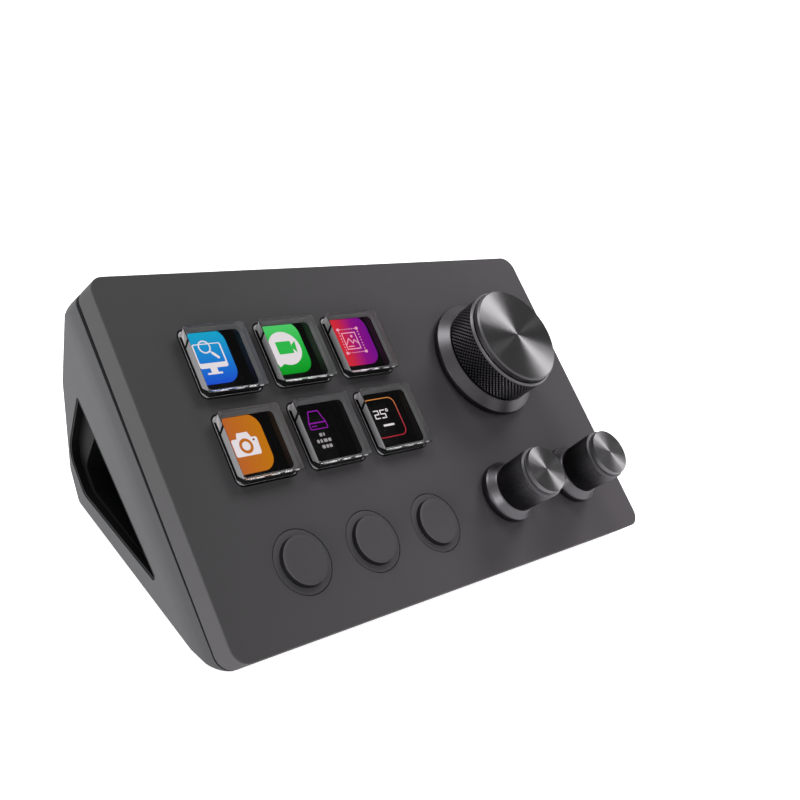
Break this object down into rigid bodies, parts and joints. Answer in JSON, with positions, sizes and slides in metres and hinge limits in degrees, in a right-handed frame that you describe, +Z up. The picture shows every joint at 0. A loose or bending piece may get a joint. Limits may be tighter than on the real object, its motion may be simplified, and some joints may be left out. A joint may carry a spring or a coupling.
{
  "type": "macro keypad with knobs",
  "caption": "Desk controller: clear display keys, round buttons and push-and-turn knobs on a sloping face, over a wedge stand with a tunnel through its sides.",
  "frame": {"origin": "centre of the footprint of the whole object, on the table under its rubber feet", "axes": "+X to the right along the face, +Y towards the back, +Z up; the sloping face looks up and towards -Y"},
  "size_m": [0.125, 0.0712, 0.049],
  "materials": {
    "shell": "fine satin charcoal moulding",
    "black_plastic": "plain black moulding",
    "frame_plastic": "satin dark grey moulding",
    "foot_rubber": "matt black rubber",
    "silicone": "matt dark silicone",
    "display": "glossy black display with lit pictograms",
    "ribbon_film": "amber film",
    "ivory_plastic": "unpainted ivory moulding",
    "board": "green solder mask",
    "chip_plastic": "black resin",
    "steel": "plated steel",
    "clear_acrylic": "clear polished acrylic",
    "knob_skirt_metal": "satin dark anodised",
    "knob_grip_metal": "knurled dark anodised",
    "knob_top_metal": "spun dark anodised"
  },
  "bodies": {
    "housing": {"front_shell": "shell", "rear_shell": "shell", "tunnel_liner": "black_plastic", "rubber_feet": "foot_rubber", "key_guide": "black_plastic", "key_mat": "silicone", "lcd_panel": "display", "lcd_frame": "black_plastic", "lcd_ribbon": "ribbon_film", "ribbon_socket": "ivory_plastic", "main_board": "board", "controller_chip": "chip_plastic", "usb_socket": "steel", "button_switches": "chip_plastic", "case_screws": "steel", "board_screws": "steel", "encoder_housing_large": "steel", "encoder_housing_left": "steel", "encoder_housing_right": "steel"},
    "key_1": {"key_cap_1": "clear_acrylic", "key_carrier_1": "frame_plastic"},
    "key_2": {"key_cap_2": "clear_acrylic", "key_carrier_2": "frame_plastic"},
    "key_3": {"key_cap_3": "clear_acrylic", "key_carrier_3": "frame_plastic"},
    "key_4": {"key_cap_4": "clear_acrylic", "key_carrier_4": "frame_plastic"},
    "key_5": {"key_cap_5": "clear_acrylic", "key_carrier_5": "frame_plastic"},
    "key_6": {"key_cap_6": "clear_acrylic", "key_carrier_6": "frame_plastic"},
    "button_1": {"button_cap_1": "shell", "switch_plunger_1": "ivory_plastic"},
    "button_2": {"button_cap_2": "shell", "switch_plunger_2": "ivory_plastic"},
    "button_3": {"button_cap_3": "shell", "switch_plunger_3": "ivory_plastic"},
    "rotor_large": {"encoder_rotor_large": "ivory_plastic"},
    "knob_large": {"knob_shaft_large": "steel", "knob_core_large": "black_plastic", "knob_skirt_large": "knob_skirt_metal", "knob_grip_large": "knob_grip_metal", "knob_cap_large": "knob_top_metal"},
    "rotor_left": {"encoder_rotor_left": "ivory_plastic"},
    "knob_left": {"knob_shaft_left": "steel", "knob_core_left": "black_plastic", "knob_skirt_left": "knob_skirt_metal", "knob_grip_left": "knob_grip_metal", "knob_cap_left": "knob_top_metal"},
    "rotor_right": {"encoder_rotor_right": "ivory_plastic"},
    "knob_right": {"knob_shaft_right": "steel", "knob_core_right": "black_plastic", "knob_skirt_right": "knob_skirt_metal", "knob_grip_right": "knob_grip_metal", "knob_cap_right": "knob_top_metal"}
  },
  "joints": [
    {"name": "key_1_press", "type": "slide", "parent": "housing", "child": "key_1", "axis": [0, 0.5, -0.866], "range_m": [0, 0.0008], "stiffness_N_per_m": 600, "springref_m": -0.0008},
    {"name": "key_2_press", "type": "slide", "parent": "housing", "child": "key_2", "axis": [0, 0.5, -0.866], "range_m": [0, 0.0008], "stiffness_N_per_m": 600, "springref_m": -0.0008},
    {"name": "key_3_press", "type": "slide", "parent": "housing", "child": "key_3", "axis": [0, 0.5, -0.866], "range_m": [0, 0.0008], "stiffness_N_per_m": 600, "springref_m": -0.0008},
    {"name": "key_4_press", "type": "slide", "parent": "housing", "child": "key_4", "axis": [0, 0.5, -0.866], "range_m": [0, 0.0008], "stiffness_N_per_m": 600, "springref_m": -0.0008},
    {"name": "key_5_press", "type": "slide", "parent": "housing", "child": "key_5", "axis": [0, 0.5, -0.866], "range_m": [0, 0.0008], "stiffness_N_per_m": 600, "springref_m": -0.0008},
    {"name": "key_6_press", "type": "slide", "parent": "housing", "child": "key_6", "axis": [0, 0.5, -0.866], "range_m": [0, 0.0008], "stiffness_N_per_m": 600, "springref_m": -0.0008},
    {"name": "button_1_press", "type": "slide", "parent": "housing", "child": "button_1", "axis": [0, 0.5, -0.866], "range_m": [0, 0.0005], "stiffness_N_per_m": 1500, "springref_m": -0.0008},
    {"name": "button_2_press", "type": "slide", "parent": "housing", "child": "button_2", "axis": [0, 0.5, -0.866], "range_m": [0, 0.0005], "stiffness_N_per_m": 1500, "springref_m": -0.0008},
    {"name": "button_3_press", "type": "slide", "parent": "housing", "child": "button_3", "axis": [0, 0.5, -0.866], "range_m": [0, 0.0005], "stiffness_N_per_m": 1500, "springref_m": -0.0008},
    {"name": "knob_large_turn", "type": "hinge", "parent": "housing", "child": "rotor_large", "pos_m": [0.032, 0.00629, 0.03148], "axis": [0, -0.5, 0.866], "continuous": true},
    {"name": "knob_large_push", "type": "slide", "parent": "rotor_large", "child": "knob_large", "axis": [0, 0.5, -0.866], "range_m": [0, 0.0005], "stiffness_N_per_m": 2500, "springref_m": -0.001},
    {"name": "knob_left_turn", "type": "hinge", "parent": "housing", "child": "rotor_left", "pos_m": [0.0193, -0.02177, 0.01528], "axis": [0, -0.5, 0.866], "continuous": true},
    {"name": "knob_left_push", "type": "slide", "parent": "rotor_left", "child": "knob_left", "axis": [0, 0.5, -0.866], "range_m": [0, 0.0005], "stiffness_N_per_m": 2500, "springref_m": -0.001},
    {"name": "knob_right_turn", "type": "hinge", "parent": "housing", "child": "rotor_right", "pos_m": [0.0435, -0.02177, 0.01528], "axis": [0, -0.5, 0.866], "continuous": true},
    {"name": "knob_right_push", "type": "slide", "parent": "rotor_right", "child": "knob_right", "axis": [0, 0.5, -0.866], "range_m": [0, 0.0005], "stiffness_N_per_m": 2500, "springref_m": -0.001}
  ]
}
